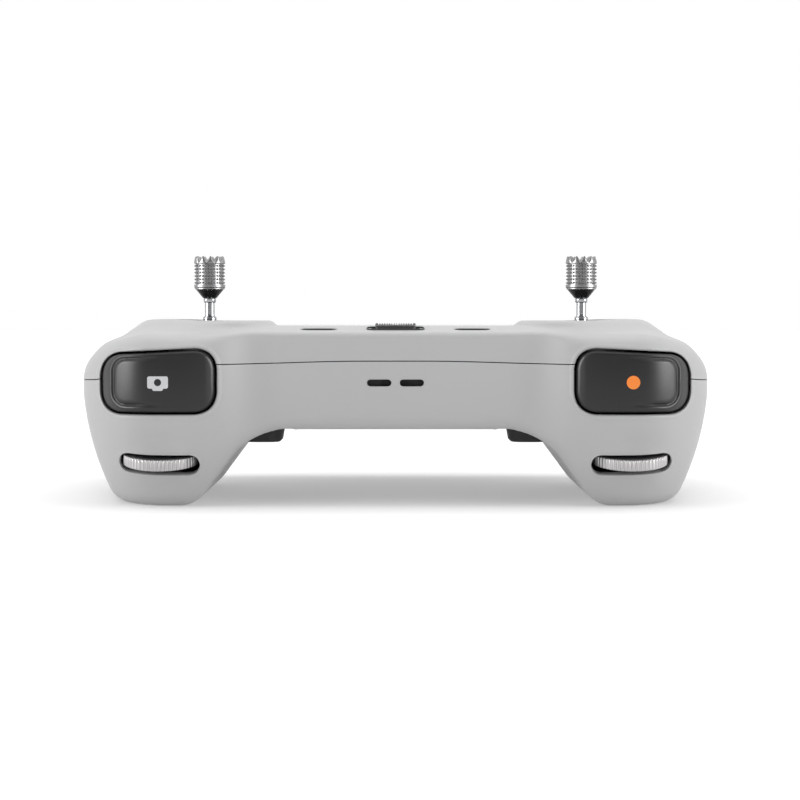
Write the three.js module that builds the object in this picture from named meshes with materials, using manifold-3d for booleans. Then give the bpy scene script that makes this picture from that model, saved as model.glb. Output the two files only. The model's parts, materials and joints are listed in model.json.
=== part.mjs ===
// Hand-held drone transmitter with a built-in screen, lying face up. Millimetres, +Z up.
// The shoulder edge with the two large buttons faces -Y and the user sits on the +Y side, so the user's right
// hand is at -X. The origin is the middle of the footprint, on the surface that the two grips rest on.
import * as THREE from "three";
import { mergeVertices } from "three/addons/utils/BufferGeometryUtils.js";
import Module from "manifold-3d";

const wasm = await Module();
wasm.setup();

// ---- driving dimensions -------------------------------------------------------------------------------------
const DEPTH = 123.7;
const TURRET_TOP = 46.2;
const STICK_TOP = 62.7;
const WALL = 2.4;
const GAP = 0.3;

const DECK_Z = 44.8; // flat top of the case, flush with the screen
const BELLY_Z = 19; // underside between the grips
const CREASE_Z = 43.2; // front end of the sloping key strip
const WAIST_Z = 27; // height of the widest section
const FACE_Z = 31; // height at which the shoulder face stands furthest out
const SPINE_Z = 27; // the skin's rays leave from a line along X at this height
const SPINE_HALF = 60;

const STICK = { x: 47.8, y: -32, z: 29 }; // where the two axes of a gimbal cross
const RIM_RADIUS = 16.6; // flat top of a turret
const BOWL_TOP = 12.6;
const BOWL_FOOT = 9.9;
const BOWL_FOOT_Z = 40.3;
const DOME_RADIUS = 14.2;
const DOME_ANGLE = 60;

const BUTTON = { inner: 44.5, outer: 72.9, bottom: 23.7, top: 39.2, drop: 1.5, round: 4.6 };
const BUTTON_GAP = 0.5;
const BUTTON_PROUD = 0.25;
const DIAL = { x: 58.5, y: -49.9, z: 12.1, radius: 9.6, height: 3, tilt: 10 };
const DIAL_SLOT = { length: 20.2, height: 5.1 };
const SCOOP = { depth: 0.8, width: 8, height: 6 }; // finger hollow round a dial
const STRIP_Y = -48.5; // middle of the key strip
const KEY = { x: 19.2, length: 8.4, width: 3.4, proud: 0.1, round: 1.4 };
const SLIDER = { length: 10.2, width: 3.2, slot: 13.8, slotWidth: 4.2, proud: 1.5 };
const PAD = { x: 34.3, y: -27, width: 11, length: 16, bottom: 14.9, top: 23.2, round: 4 };
const SCREEN = { half: 62, front: -13.8, rear: 56.4, round: 9, thick: 1.2, ledge: 3.2 };
const STORE = { y: 38, length: 48, width: 13, bottom: 20.6, height: 10.4, groove: 18, across: 8.8, deep: 8.4 };
const CELL = { half: 27, front: -31, rear: 26, bottom: 22.8, top: 32.2 };
const BOARD = { bottom: 34.4, top: 35.8 };
const FRAME = { bottom: 37.8, top: 39.2 };
const PORT_Z = 32.4;
const SCREWS = [
  { name: "front", x: 27.6, y: -49.4, from: 20, to: 42, seat: 23 },
  { name: "corner", x: 68, y: 43, from: 20.7, to: 41.4, seat: 24 },
  { name: "rear", x: 38, y: 50, from: 21.4, to: 33.4, seat: 24 },
];
const SCREW = { head: 2.5, headHeight: 1.5, shank: 1.2, length: 11, boss: 3.4 };

// ---- small maths --------------------------------------------------------------------------------------------
const radians = THREE.MathUtils.degToRad;
const ease = (from, to, value) => THREE.MathUtils.smoothstep(value, from, to);
const mix = THREE.MathUtils.lerp;

// Larger of two fields, with the edge where they meet rounded to a radius; and the smaller, with a fillet.
function roundMax(a, b, radius) {
  return Math.min(Math.max(a, b), -radius) + Math.hypot(Math.max(a + radius, 0), Math.max(b + radius, 0));
}
function roundMin(a, b, radius) {
  return -roundMax(-a, -b, radius);
}

// ---- the body's outer form, as a field that is negative inside -----------------------------------------------
function halfWidth(y) {
  const back = y + 4;
  return 84.58 - 0.075 * (Math.hypot(back, 8) - back) - 0.001 * Math.max(back, 0) ** 2;
}

// Plan of the shoulder edge: a level middle, and a pod that bulges round each large button.
function frontEdge(across) {
  const pod = BUTTON_PROUD - DEPTH / 2 + (across - 57) ** 2 / 70;
  return mix(-55.5, Math.min(pod, -50), ease(28, 43, across));
}

function planField(across, y, z) {
  const low = Math.max(WAIST_Z - z, 0);
  const side = across - halfWidth(y) + 0.08 * low + 0.0083 * low ** 2;
  const lean = 0.008 * Math.max(FACE_Z - z, 0) ** 2 + 0.006 * Math.max(z - FACE_Z, 0) ** 2;
  const offDial = ((across - DIAL.x) / SCOOP.width) ** 2 + ((z - DIAL.z) / SCOOP.height) ** 2;
  const front = frontEdge(across) + lean + SCOOP.depth * Math.exp(-offDial) - y;
  const rear = y - DEPTH / 2 + 0.0006 * across ** 2 + 0.006 * Math.max(FACE_Z - z, 0) ** 2;
  return roundMax(roundMax(side, front, 15), rear, 21);
}

function deckHeight(across, y) {
  const strip = CREASE_Z + 0.13 * (y + DEPTH / 2 - 6.3);
  return roundMin(strip, DECK_Z, 0.6) - 5.2 * ease(60, 79, across);
}

function edgeRadius(across, y) {
  const plain = 4 + 5 * ease(60, 84, across);
  return mix(1, plain, Math.max(ease(36, 50, across), ease(-45, -25, y)));
}

// Underside: a belly between two grips, whose sloping inner and rear sides run into it with a fillet.
function undersideField(across, y, z) {
  const belly = BELLY_Z + 0.08 * Math.max(y - 28, 0) - z;
  const inner = -0.81 * (across - 43.3) - 0.587 * (z - 9.4);
  const rear = 0.8 * (y - 24) - 0.6 * z;
  const grip = roundMax(roundMax(inner - 0.1, -z, 3), rear, 8);
  return roundMin(belly, grip, 7);
}

function turretField(across, y, z) {
  const away = Math.hypot(across - STICK.x, y - STICK.y);
  const slope = mix(0.25, 0.95, ease(-10, 10, across - STICK.x));
  const wall = 0.88 * (away - RIM_RADIUS - slope * (TURRET_TOP - z));
  return roundMax(roundMax(wall, z - TURRET_TOP, 1.2), 38 - z, 1);
}

function bodyField(x, y, z) {
  const across = Math.abs(x);
  const plan = planField(across, y, z);
  const lower = roundMax(plan, undersideField(across, y, z), mix(4, 3.2, ease(30, 45, across)));
  const whole = roundMax(lower, z - deckHeight(across, y), edgeRadius(across, y));
  return roundMin(whole, turretField(across, y, z), mix(1, 3.2, ease(-10, 10, across - STICK.x)));
}

// ---- solids ---------------------------------------------------------------------------------------------------
function solid(geometry) {
  geometry.deleteAttribute("normal");
  geometry.deleteAttribute("uv");
  const merged = mergeVertices(geometry, 1e-4);
  const index = merged.index.array;
  const corners = [];
  for (let i = 0; i < index.length; i += 3) {
    const [a, b, c] = [index[i], index[i + 1], index[i + 2]];
    if (a !== b && b !== c && c !== a) corners.push(a, b, c);
  }
  const vertProperties = merged.attributes.position.array;
  const make = (list) =>
    new wasm.Manifold(new wasm.Mesh({ numProp: 3, vertProperties, triVerts: new Uint32Array(list) }));
  const made = make(corners);
  return made.volume() < 0 ? make(corners.reverse()) : made;
}

function box(x0, x1, y0, y1, z0, z1) {
  const block = new THREE.BoxGeometry(x1 - x0, y1 - y0, z1 - z0);
  return solid(block.translate((x0 + x1) / 2, (y0 + y1) / 2, (z0 + z1) / 2));
}

// A turned piece about Z, from [radius, height] corners that start and end on the axis or close on themselves.
function turned(corners, segments = 24) {
  const outline = corners.map(([radius, height]) => new THREE.Vector2(radius, height));
  return solid(new THREE.LatheGeometry(outline, segments).rotateX(Math.PI / 2));
}

function rod(radius, from, to, segments = 16) {
  return turned([[0, from], [radius, from], [radius, to], [0, to]], segments);
}

function spun(piece, degreesX, degreesY) {
  return piece.rotate([degreesX, degreesY, 0]);
}

// A closed shape through corner points, with every corner rounded.
function roundedShape(corners, radius) {
  const shape = new THREE.Shape();
  corners.forEach(([x, y], i) => {
    const here = new THREE.Vector2(x, y);
    const before = new THREE.Vector2(...corners.at(i - 1));
    const after = new THREE.Vector2(...corners[(i + 1) % corners.length]);
    const start = here.clone().add(before.sub(here).setLength(radius));
    const end = here.clone().add(after.sub(here).setLength(radius));
    if (i === 0) shape.moveTo(start.x, start.y);
    else shape.lineTo(start.x, start.y);
    shape.quadraticCurveTo(mix(here.x, (start.x + end.x) / 2, 0.17), mix(here.y, (start.y + end.y) / 2, 0.17),
      end.x, end.y);
  });
  return shape;
}

function rectangle(width, length, round, x = 0, y = 0) {
  const [w, l] = [width / 2, length / 2];
  return roundedShape([[x - w, y - l], [x + w, y - l], [x + w, y + l], [x - w, y + l]], round);
}

function risen(shape, from, to, curveSegments = 5) {
  const raised = new THREE.ExtrudeGeometry(shape, { depth: to - from, bevelEnabled: false, curveSegments });
  return solid(raised.translate(0, 0, from));
}

// The shape's own axes become X and Z, and it runs along Y.
function alongY(shape, from, to, curveSegments = 5) {
  const run = new THREE.ExtrudeGeometry(shape, { depth: to - from, bevelEnabled: false, curveSegments });
  return solid(run.rotateX(Math.PI / 2).translate(0, to, 0));
}

// A torsion spring about Z: a round wire along a helix.
function coil(radius, wire, from, to, turns) {
  class Helix extends THREE.Curve {
    getPoint(t, target = new THREE.Vector3()) {
      const angle = 2 * Math.PI * turns * t;
      return target.set(radius * Math.cos(angle), radius * Math.sin(angle), mix(from, to, t));
    }
  }
  const corners = [[wire, 0], [0, wire], [-wire, 0], [0, -wire]];
  const section = new THREE.Shape(corners.map(([x, y]) => new THREE.Vector2(x, y)));
  return solid(new THREE.ExtrudeGeometry(section, { extrudePath: new Helix(), steps: 8 * turns }));
}

function union(pieces) {
  return pieces.reduce((whole, piece) => whole.add(piece));
}

// ---- skin of the body: a capsule whose points slide out along their own rays until they meet the field --------
function rayAcross(angle) {
  const [halfY, halfZ] = [DEPTH / 2, 16.8];
  const quarter = halfY + halfZ;
  const turn = (angle / (2 * Math.PI)) * 4 * quarter;
  const lap = ((turn % (4 * quarter)) + 4 * quarter) % (4 * quarter);
  const half = lap % (2 * quarter);
  const sign = lap < 2 * quarter ? 1 : -1;
  let [y, z] = [halfY, half];
  if (half > halfZ) [y, z] = [halfY - (half - halfZ), halfZ];
  if (half > halfZ + 2 * halfY) [y, z] = [-halfY, halfZ - (half - halfZ - 2 * halfY)];
  return new THREE.Vector3(0, sign * y, sign * z).normalize();
}

// Rings round the spine's ends lie closer together near the spine, where the form bends most.
const capTilt = (height) => (Math.PI / 2) * (Math.asin(height) / (Math.PI / 2)) ** 1.5;

function skin(level, spokes, rows, capRows) {
  const capsule = new THREE.CapsuleGeometry(1, 2 * SPINE_HALF, capRows, spokes, rows);
  const place = capsule.attributes.position;
  for (let i = 0; i < place.count; i++) {
    const along = place.getY(i);
    const spine = THREE.MathUtils.clamp(along, -SPINE_HALF, SPINE_HALF);
    const end = THREE.MathUtils.clamp(along - spine, -1, 1);
    const lift = Math.sign(end) * Math.sin(capTilt(Math.abs(end)));
    const ray = rayAcross(Math.atan2(place.getX(i), place.getZ(i)));
    ray.multiplyScalar(Math.sqrt(1 - lift ** 2)).setX(lift);
    let [near, far] = [0, 120];
    for (let halving = 0; halving < 30; halving++) {
      const reach = (near + far) / 2;
      const value = bodyField(spine + ray.x * reach, ray.y * reach, SPINE_Z + ray.z * reach);
      if (value < level) near = reach;
      else far = reach;
    }
    place.setXYZ(i, spine + ray.x * near, ray.y * near, SPINE_Z + ray.z * near);
  }
  return solid(capsule);
}

// ---- materials ------------------------------------------------------------------------------------------------
function material(color, roughness, metalness = 0) {
  return new THREE.MeshStandardMaterial({ color, roughness, metalness });
}
const grey = material(0xc4c6c8, 0.55);
const dark = material(0x35363a, 0.45);
const black = material(0x0b0c0e, 0.12);
const silver = material(0xb9bbbe, 0.3, 0.9);
const steel = material(0x8f9296, 0.25, 1);
const rubber = material(0x2a2b2d, 0.85);
const board = material(0x1f5a3a, 0.5);
const frameMetal = material(0x9ea2a6, 0.45, 0.8);
const cellWrap = material(0x2f4f7a, 0.6);
const lamp = material(0xe9efe9, 0.3);
const copper = material(0xb87333, 0.35, 0.9);

const controller = new THREE.Group();
function part(name, shape, look) {
  const found = shape.getMesh();
  const geometry = new THREE.BufferGeometry();
  geometry.setAttribute("position", new THREE.BufferAttribute(new Float32Array(found.vertProperties), 3));
  geometry.setIndex(new THREE.BufferAttribute(new Uint32Array(found.triVerts), 1));
  geometry.computeVertexNormals();
  const mesh = new THREE.Mesh(geometry, look);
  mesh.name = name;
  controller.add(mesh);
}

// The user's right hand is on the -X side.
const sides = [
  { name: "right", sign: -1 },
  { name: "left", sign: 1 },
];
const mirrored = (corners, sign) => corners.map(([x, y]) => [sign * x, y]);

// ---- case -----------------------------------------------------------------------------------------------------
const partingHeight = (x) => 36.2 - 0.75 * ease(8, 44, Math.abs(x)) - 4.2 * ease(48, 80, Math.abs(x));

// Everything above the parting surface, which is lower at the sides, or everything below it.
function halfSpace(lift, limit) {
  const line = new THREE.Shape();
  const reach = 90;
  const pieces = 18;
  line.moveTo(-reach, limit);
  for (let i = 0; i <= pieces; i++) {
    const x = mix(-reach, reach, i / pieces);
    line.lineTo(x, partingHeight(x) + lift);
  }
  line.lineTo(reach, limit);
  return alongY(line, -70, 70);
}

function buttonOutline(sign, grow) {
  const { inner, outer, bottom, top, drop, round } = BUTTON;
  const corners = [
    [inner - grow, bottom - grow],
    [outer + grow, bottom - grow],
    [outer + grow, top - drop + grow],
    [inner - grow, top + grow],
  ];
  return roundedShape(mirrored(corners, sign), round + grow);
}

const SKIN_FINE = [56, 24, 7];
const SKIN_COARSE = [38, 16, 5];
const outerSkin = skin(0, ...SKIN_FINE);
const innerSkin = skin(-WALL, ...SKIN_COARSE);
const caseWalls = outerSkin.subtract(innerSkin);
const bosses = [];
const drillings = [];
for (const { sign } of sides) {
  for (const { x, y, from, to, seat } of SCREWS) {
    bosses.push(rod(SCREW.boss, from, to, 14).translate(sign * x, y, 0));
    drillings.push(rod(SCREW.shank + GAP, from - 8, seat + SCREW.length + 0.6, 12).translate(sign * x, y, 0));
    drillings.push(rod(SCREW.head + GAP, from - 8, seat, 16).translate(sign * x, y, 0));
  }
}
const shoulderOpenings = union(sides.map(({ sign }) => alongY(buttonOutline(sign, BUTTON_GAP), -70, -44)));
const cased = caseWalls.add(union(bosses)).subtract(union(drillings)).subtract(shoulderOpenings);

function screenOutline(grow) {
  const { half, front, rear, round } = SCREEN;
  return rectangle(2 * (half + grow), rear - front + 2 * grow, round + grow, 0, (front + rear) / 2);
}
const bowls = sides.map(({ sign }) => {
  const cone = turned([[0, BOWL_FOOT_Z], [BOWL_FOOT + 1.3, BOWL_FOOT_Z], [BOWL_TOP + 1.8, TURRET_TOP - 1],
    [0, TURRET_TOP - 1]], 32);
  return cone.translate(sign * STICK.x, STICK.y, 0);
});
const bowlHollows = sides.map(({ sign }) => {
  const slope = (BOWL_TOP - BOWL_FOOT) / (TURRET_TOP - BOWL_FOOT_Z);
  const cone = turned([[0, BOWL_FOOT_Z - 1], [BOWL_FOOT - slope, BOWL_FOOT_Z - 1],
    [BOWL_TOP + slope, TURRET_TOP + 1], [0, TURRET_TOP + 1]], 32);
  return cone.translate(sign * STICK.x, STICK.y, 0);
});
const keyHoles = sides.map(({ sign }) =>
  risen(rectangle(KEY.length + 2 * GAP, KEY.width + 2 * GAP, KEY.round, sign * KEY.x, STRIP_Y), 36, 50));
const LAMPS = [-6, -2, 2, 6];
const LAMP = { y: -24, length: 2.4, width: 1.2 };
const lampHoles = LAMPS.map((x) => box(x - LAMP.length / 2 - GAP, x + LAMP.length / 2 + GAP,
  LAMP.y - LAMP.width / 2 - GAP, LAMP.y + LAMP.width / 2 + GAP, 40, 47));
const topCuts = union([
  risen(screenOutline(GAP), DECK_Z - SCREEN.thick - GAP, 50),
  risen(screenOutline(-SCREEN.ledge), 38, 50),
  risen(rectangle(SLIDER.slot, SLIDER.slotWidth, 1.8, 0, STRIP_Y), 36, 50),
  ...bowlHollows,
  ...keyHoles,
  ...lampHoles,
]);
const topShell = cased.intersect(halfSpace(GAP / 2, 80)).add(union(bowls)).subtract(topCuts);
part("top_shell", topShell.simplify(0.1), grey);

const dialSlots = sides.map(({ sign }) => {
  const stadium = alongY(rectangle(DIAL_SLOT.length, DIAL_SLOT.height, 2.4), -20, 6);
  return spun(stadium, DIAL.tilt, 0).translate(sign * DIAL.x, DIAL.y, DIAL.z);
});
const padHoles = sides.map(({ sign }) =>
  risen(rectangle(PAD.width + 0.8, PAD.length + 0.8, PAD.round, sign * PAD.x, PAD.y), 5, 27));
const SOUND_SLOTS = { x: 4.05, z: 30.8, length: 6, height: 1.7 };
const soundSlots = sides.map(({ sign }) =>
  alongY(rectangle(SOUND_SLOTS.length, SOUND_SLOTS.height, 0.84, sign * SOUND_SLOTS.x, SOUND_SLOTS.z), -60, -50));
const USB = { width: 8.9, height: 3.3, round: 1.6, front: 53.2, rear: 60.6 };
const CARD = { x: 18, width: 12, height: 1.8, front: 44, rear: 58.6 };
const bottomCuts = union([
  ...dialSlots,
  ...padHoles,
  ...soundSlots,
  alongY(rectangle(USB.width + 2 * GAP, USB.height + 2 * GAP, USB.round + GAP, 0, PORT_Z), 57, 66),
  alongY(rectangle(CARD.width, CARD.height, 0.6, CARD.x, PORT_Z), 57, 66),
  risen(rectangle(STORE.length + 2 * GAP, STORE.width + 2 * GAP, 3, 0, STORE.y), 15, 26),
]);
const bottomShell = cased.intersect(halfSpace(-GAP / 2, -20)).subtract(bottomCuts);
part("bottom_shell", bottomShell.simplify(0.1), grey);

for (const { name, sign } of sides) {
  for (const screw of SCREWS) {
    const { head, headHeight, shank, length } = SCREW;
    const body = turned([[0, 0], [head, 0], [head, headHeight], [shank, headHeight], [shank, length], [0, length]], 14);
    const placed = body.subtract(box(-1.6, 1.6, -0.3, 0.3, -1, 0.6)).translate(sign * screw.x, screw.y,
      screw.seat - headHeight - GAP);
    part(`${screw.name}_screw_${name}`, placed, steel);
  }
}

// ---- screen, frame and boards -----------------------------------------------------------------------------------
part("screen_glass", risen(screenOutline(0), DECK_Z - SCREEN.thick, DECK_Z), black);
part("display_panel", risen(screenOutline(-SCREEN.ledge - 0.6), FRAME.top + GAP, DECK_Z - SCREEN.thick - GAP), dark);

const frameShape = rectangle(118, 63, 6, 0, 21);
const framePosts = sides.map(({ sign }) => {
  const { x, y } = SCREWS[2];
  const post = rod(3, SCREWS[2].to + GAP, FRAME.top - 0.2, 14);
  return post.subtract(rod(SCREW.shank + GAP, 30, SCREWS[2].to + 2.4, 12)).translate(sign * x, y, 0);
});
const frameWindow = risen(rectangle(40, 30, 4, 0, 18), 30, 45);
part("mid_frame", risen(frameShape, FRAME.bottom, FRAME.top).subtract(frameWindow).add(union(framePosts)), frameMetal);

const boardPostHoles = sides.map(({ sign }) => rod(3.6, 30, 40, 14).translate(sign * SCREWS[2].x, SCREWS[2].y, 0));
const mainBoard = risen(rectangle(112, 64, 3, 0, 25), BOARD.bottom, BOARD.top);
const processor = box(-9, 9, 4, 22, BOARD.bottom - 1.2, BOARD.bottom + 0.2);
const radioCan = box(18, 42, -4, 14, BOARD.top - 0.2, BOARD.top + 1.5);
part("main_board", union([mainBoard, processor, radioCan]).subtract(union(boardPostHoles)), board);
part("battery_pack", risen(rectangle(2 * CELL.half, CELL.rear - CELL.front, 3, 0, (CELL.front + CELL.rear) / 2),
  CELL.bottom, CELL.top, 3), cellWrap);

const horn = box(-10, 10, -51.8, -45, 27, 35.8);
const cone = spun(rod(3.4, 0, 2, 16), 90, 0).translate(0, -50.8, SOUND_SLOTS.z);
part("speaker", horn.subtract(cone), dark);

for (const { name, sign } of sides) {
  part(`${name}_antenna`, box(sign * 17 - 5, sign * 17 + 5, -51.8, -51, 27, 35.8), copper);
}

const usbShell = alongY(rectangle(USB.width, USB.height, USB.round, 0, PORT_Z), USB.front, USB.rear);
const usbHollow = alongY(rectangle(USB.width - 0.7, USB.height - 0.7, USB.round - 0.35, 0, PORT_Z), 54, 70);
const usbTongue = box(-3.3, 3.3, 53.6, 59.8, PORT_Z - 0.35, PORT_Z + 0.35);
part("usb_port", usbShell.subtract(usbHollow).add(usbTongue), steel);

const cardBody = box(CARD.x - 7.2, CARD.x + 7.2, CARD.front, CARD.rear, PORT_Z - 1.3, PORT_Z + 1.3);
const cardSlit = box(CARD.x - 5.6, CARD.x + 5.6, CARD.front + 1.5, 70, PORT_Z - 0.5, PORT_Z + 0.5);
part("card_socket", cardBody.subtract(cardSlit), steel);

const grooves = sides.map(({ sign }) => risen(
  rectangle(STORE.groove, STORE.across, 3, sign * 12, STORE.y), STORE.bottom - 5, STORE.bottom + STORE.deep));
const insert = risen(rectangle(STORE.length, STORE.width, 3, 0, STORE.y), STORE.bottom, STORE.bottom + STORE.height);
part("storage_insert", insert.subtract(union(grooves)), rubber);

const lampBar = box(-8.5, 8.5, LAMP.y - 2, LAMP.y + 2, 39.6, 41.6);
const lampPips = LAMPS.map((x) => box(x - LAMP.length / 2, x + LAMP.length / 2,
  LAMP.y - LAMP.width / 2, LAMP.y + LAMP.width / 2, 41, DECK_Z + 0.1));
part("light_pipe", lampBar.add(union(lampPips)), lamp);

// ---- key strip ----------------------------------------------------------------------------------------------------
const stripZ = deckHeight(0, STRIP_Y);
const keyBoard = box(-23.4, 23.4, -51, -45.4, 36.6, 37.8);
const switchBody = box(-8.6, 8.6, -50.6, -46.4, 37.6, 40.2);
const keyDomes = sides.map(({ sign }) => rod(1.6, 37.6, 39.4, 12).translate(sign * KEY.x, STRIP_Y, 0));
part("top_key_board", union([keyBoard, switchBody, ...keyDomes]), board);

const KEY_NAMES = { right: "power_button", left: "return_home_button" };
for (const { name, sign } of sides) {
  const cap = risen(rectangle(KEY.length, KEY.width, KEY.round, sign * KEY.x, STRIP_Y), 40.2, stripZ + KEY.proud);
  part(KEY_NAMES[name], cap, dark);
}

const sliderBlock = risen(rectangle(SLIDER.length, SLIDER.width, 1.2, 0, STRIP_Y), 40.5, stripZ + SLIDER.proud);
const sliderRidges = [-3.6, -2.4, -1.2, 0, 1.2, 2.4, 3.6].map((x) =>
  box(x - 0.25, x + 0.25, STRIP_Y - 3, STRIP_Y + 3, stripZ + SLIDER.proud - 0.3, stripZ + SLIDER.proud + 1));
part("mode_switch_knob", sliderBlock.subtract(union(sliderRidges)), silver);

// ---- shoulder buttons ---------------------------------------------------------------------------------------------
const buttonSkin = skin(BUTTON_PROUD, ...SKIN_FINE).subtract(skin(-1.9, ...SKIN_COARSE));
const BUTTON_NAMES = { right: "shutter_button", left: "record_button" };
for (const { name, sign } of sides) {
  const face = buttonSkin.intersect(alongY(buttonOutline(sign, 0), -70, -47.5));
  const plunger = box(sign * 57 - 3, sign * 57 + 3, -60.4, -53, 29, 34);
  part(BUTTON_NAMES[name], face.add(plunger).simplify(0.1), dark);
  const boardPlate = box(sign * 57 - 7, sign * 57 + 7, -51, -50, 25.5, 36.5);
  const pressSwitch = box(sign * 57 - 2.5, sign * 57 + 2.5, -51.8, -50.9, 29, 34);
  part(`${name}_switch_board`, boardPlate.add(pressSwitch), board);
}

// ---- dials --------------------------------------------------------------------------------------------------------
for (const { name, sign } of sides) {
  const place = (piece) => spun(piece, DIAL.tilt, 0).translate(sign * DIAL.x, DIAL.y, DIAL.z);
  const { radius, height } = DIAL;
  const half = height / 2;
  const wheel = turned([[4.3, -half], [radius - 0.4, -half], [radius, 0.4 - half], [radius, half - 0.4],
    [radius - 0.4, half], [4.3, half], [4.3, -half]], 30);
  part(`${name}_dial_wheel`, place(wheel), silver);
  const hub = turned([[1.5, -half - 0.4], [4, -half - 0.4], [4, half + 0.4], [1.5, half + 0.4], [1.5, -half - 0.4]], 16);
  part(`${name}_dial_hub`, place(hub), dark);
  const pin = rod(1.2, -2.9, half + 1.4, 14);
  const plate = box(-3, 3, -1.5, radius + 2, -3.2, -2.1);
  const heel = box(-3, 3, radius + 0.6, radius + 2, -3.2, 4);
  part(`${name}_dial_bracket`, place(union([pin, plate, heel])), frameMetal);
}

// ---- customisable keys on the underside ---------------------------------------------------------------------------
for (const { name, sign } of sides) {
  const { x, y, width, length, bottom, top, round } = PAD;
  const pad = risen(rectangle(width, length, round, sign * x, y), bottom + 0.8, top);
  const crown = risen(rectangle(width - 1.6, length - 1.6, round - 0.8, sign * x, y), bottom, bottom + 1);
  part(`${name}_custom_key`, pad.add(crown), rubber);
}

// ---- stick gimbals ------------------------------------------------------------------------------------------------
const arc = (radius, from, to, steps) => Array.from({ length: steps + 1 }, (_, i) => {
  const angle = radians(mix(from, to, i / steps));
  return [radius * Math.sin(angle), radius * Math.cos(angle)];
});

for (const { name, sign } of sides) {
  const place = (piece) => piece.translate(sign * STICK.x, STICK.y, STICK.z);
  const across = (piece) => spun(piece, 0, 90);
  const along = (piece) => spun(piece, -90, 0);
  const axleRadius = 1.5;
  const bore = axleRadius + GAP;

  const ring = turned([[15.5, -4.5], [17.5, -4.5], [17.5, 4.5], [15.5, 4.5], [15.5, -4.5]], 24);
  const ears = [-1, 1].flatMap((ex) => [-1, 1].map((ey) => rod(2, -2, 11.4, 8).translate(13.4 * ex, 13.4 * ey, 0)));
  const ringHollow = rod(15.5, -6, 14, 24);
  const base = ring.add(union(ears).subtract(ringHollow)).subtract(across(rod(bore, -20, 20, 12)));
  part(`${name}_gimbal_base`, place(base), dark);

  const yokeRing = turned([[10.2, -2.4], [12.2, -2.4], [12.2, 2.4], [10.2, 2.4], [10.2, -2.4]], 24);
  const [shortAxle, longAxle] = [17.4, 20.6].map((end) => rod(axleRadius, 11.5, end, 12));
  const [outward, inward] = sign > 0 ? [90, -90] : [-90, 90];
  const yoke = yokeRing.add(spun(longAxle, 0, outward)).add(spun(shortAxle, 0, inward));
  part(`${name}_gimbal_yoke`, place(yoke.subtract(along(rod(bore, -13, 13, 12)))), frameMetal);

  const dome = turned([...arc(DOME_RADIUS, 0, DOME_ANGLE, 5), ...arc(DOME_RADIUS - 1.1, DOME_ANGLE, 0, 3)], 20);
  const ball = rod(5, -5, 5, 12);
  const post = rod(2.6, 4, DOME_RADIUS - 0.5, 10);
  const neckTop = 18.9;
  const neck = turned([[0, 13.6], [3.4, 13.6], [2, 15.6], [1.9, neckTop - 0.7], [1.4, neckTop], [0, neckTop]], 14);
  const cross = along(rod(axleRadius, -12, 14.9, 12));
  part(`${name}_stick_carrier`, place(union([dome, ball, post, neck, cross])), dark);

  const collarZ = 51.4 - STICK.z;
  const coneZ = 51.9 - STICK.z;
  const headZ = 54.5 - STICK.z;
  const top = STICK_TOP - STICK.z;
  const stem = turned([[0, neckTop + GAP], [1.3, neckTop + GAP], [1.3, collarZ - 0.2], [1.6, collarZ],
    [1.6, coneZ - GAP], [1, coneZ - GAP], [1, headZ + 1.5], [0, headZ + 1.5]], 12);
  part(`${name}_stick_stem`, place(stem), steel);

  const headBlank = turned([[1.3, coneZ], [1.8, coneZ], [3.7, headZ], [4, headZ + 0.2], [4, top - 1.2],
    [3.6, top], [2.2, top], [0, top - 1.3], [0, headZ + 1.8], [1.3, headZ + 1.8], [1.3, coneZ]], 16);
  const notches = Array.from({ length: 4 }, (_, i) => box(-6, 6, -0.6, 0.6, top - 0.9, top + 1).rotate([0, 0, 45 * i]));
  part(`${name}_stick_head`, place(headBlank.subtract(union(notches))), silver);

  const outerSpring = coil(2.3, 0.25, 17.9, 20.3, 3);
  part(`${name}_fore_aft_spring`, place(spun(outerSpring, 0, outward)), steel);
  part(`${name}_side_spring`, place(along(coil(2.1, 0.25, 12.6, 14.7, 3))), steel);
}

export default controller;
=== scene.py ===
"""Looks of a hand-held drone transmitter with a built-in screen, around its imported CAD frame.

Working lengths are millimetres in the CAD's own frame; mesh_object() turns them into metres.
"""
import json
import math

import bmesh
import bpy
import numpy as np
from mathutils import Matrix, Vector


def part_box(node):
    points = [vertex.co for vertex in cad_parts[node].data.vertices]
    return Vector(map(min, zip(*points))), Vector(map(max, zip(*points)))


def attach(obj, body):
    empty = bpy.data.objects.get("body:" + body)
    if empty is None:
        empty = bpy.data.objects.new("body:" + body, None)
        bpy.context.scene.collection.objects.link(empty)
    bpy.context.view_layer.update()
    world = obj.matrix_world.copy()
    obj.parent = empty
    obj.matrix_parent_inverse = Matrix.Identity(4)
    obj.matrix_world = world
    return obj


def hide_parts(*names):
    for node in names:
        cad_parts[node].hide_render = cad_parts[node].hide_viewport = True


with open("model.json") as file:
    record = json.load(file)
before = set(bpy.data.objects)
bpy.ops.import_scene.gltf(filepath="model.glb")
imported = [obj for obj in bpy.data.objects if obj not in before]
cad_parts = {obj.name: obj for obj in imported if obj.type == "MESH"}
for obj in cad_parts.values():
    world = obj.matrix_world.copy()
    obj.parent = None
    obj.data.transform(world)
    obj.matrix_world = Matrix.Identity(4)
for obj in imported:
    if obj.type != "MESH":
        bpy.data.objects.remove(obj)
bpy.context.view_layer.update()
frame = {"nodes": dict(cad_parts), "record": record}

MM = 0.001

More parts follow.
